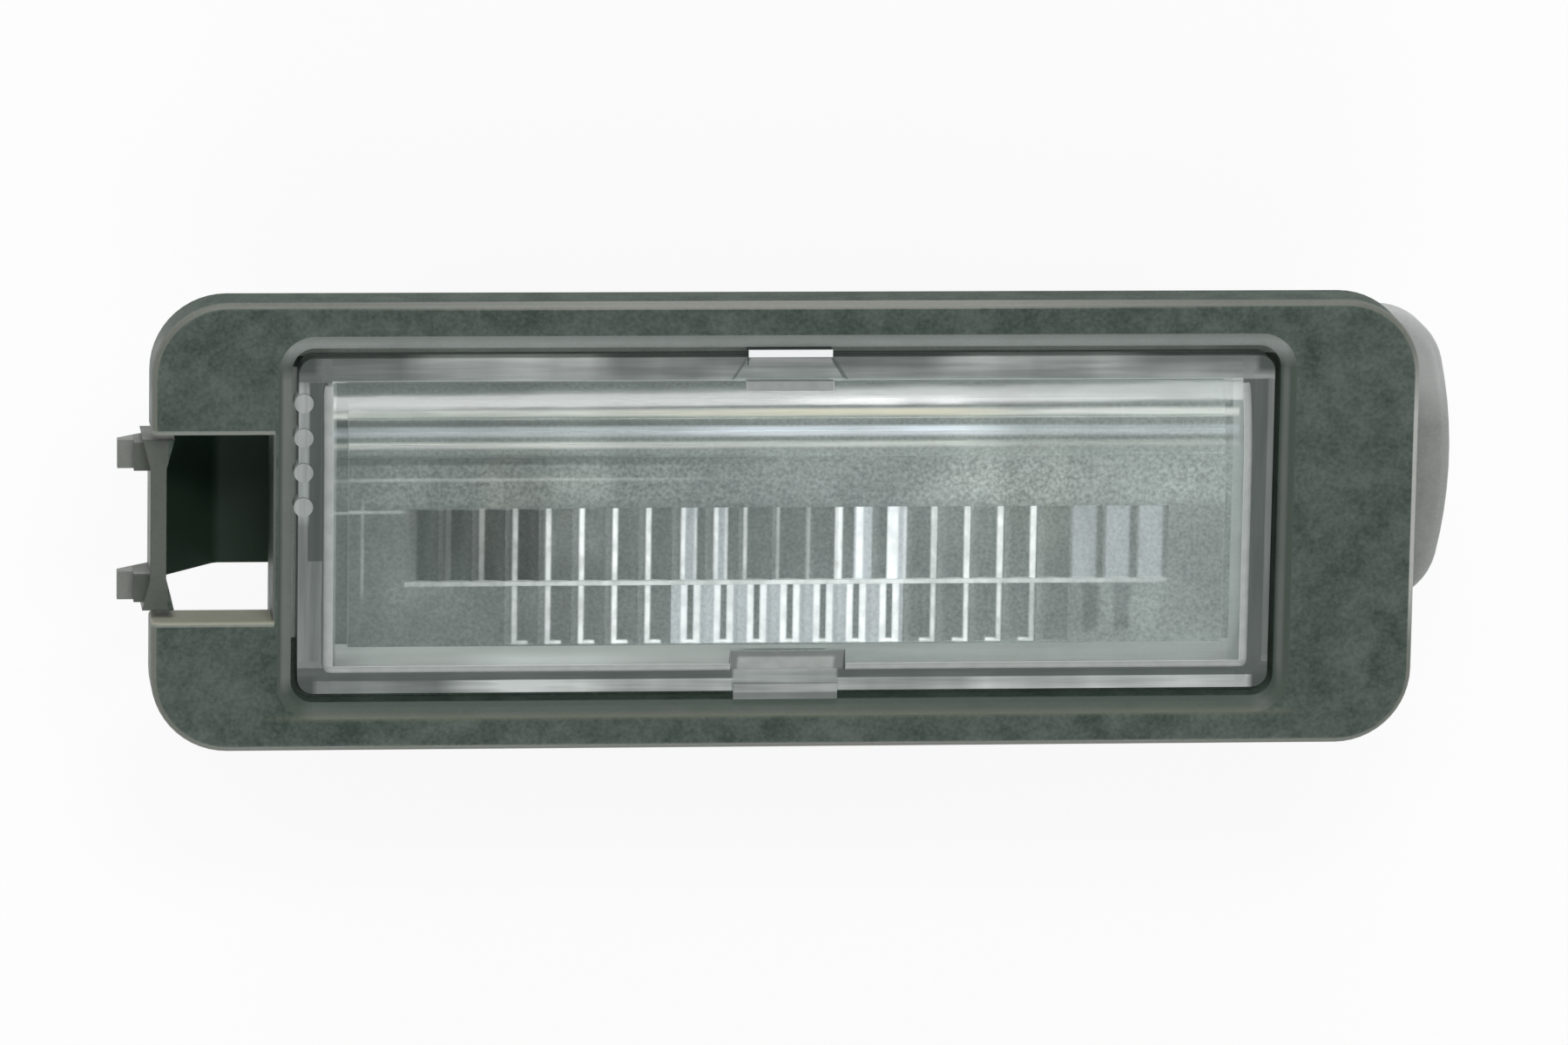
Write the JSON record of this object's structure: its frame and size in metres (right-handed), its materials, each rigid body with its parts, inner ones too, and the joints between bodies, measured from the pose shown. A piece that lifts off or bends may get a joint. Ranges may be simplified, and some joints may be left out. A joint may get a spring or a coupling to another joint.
{
  "type": "number plate lamp",
  "caption": "Clip-in vehicle number plate lamp: clear fluted lens in a dark rounded bezel, moulded spring latch at one end, hooked nose at the other, festoon bulb and plug socket behind.",
  "frame": {"origin": "middle of the panel opening, on the bezel's rear face where it rests on the panel", "axes": "+X along the lamp from the latch to the nose, +Y across it towards the curved side of the lens, +Z out of the panel through the lens"},
  "size_m": [0.0852, 0.0286, 0.0206],
  "materials": {
    "housing": "fine moulded grain",
    "lens": "clear moulded, polished",
    "lens_seal": "grey silicone, satin",
    "gasket": "matt",
    "reflector": "metallised",
    "bulb_glass": "clear blown glass",
    "bulb_cap": "nickel plated",
    "bulb_wire": "drawn wire",
    "contact": "stamped spring strip",
    "carrier": "moulded"
  },
  "bodies": {
    "root": {"housing": "housing", "lens": "lens", "lens_gasket": "lens_seal", "reflector": "reflector", "bulb_glass": "bulb_glass", "bulb_cap_left": "bulb_cap", "bulb_cap_right": "bulb_cap", "bulb_lead_left": "bulb_wire", "bulb_lead_right": "bulb_wire", "bulb_filament": "bulb_wire", "contact_left": "contact", "contact_right": "contact", "bulb_carrier": "carrier", "carrier_gasket": "gasket"}
  },
  "joints": []
}
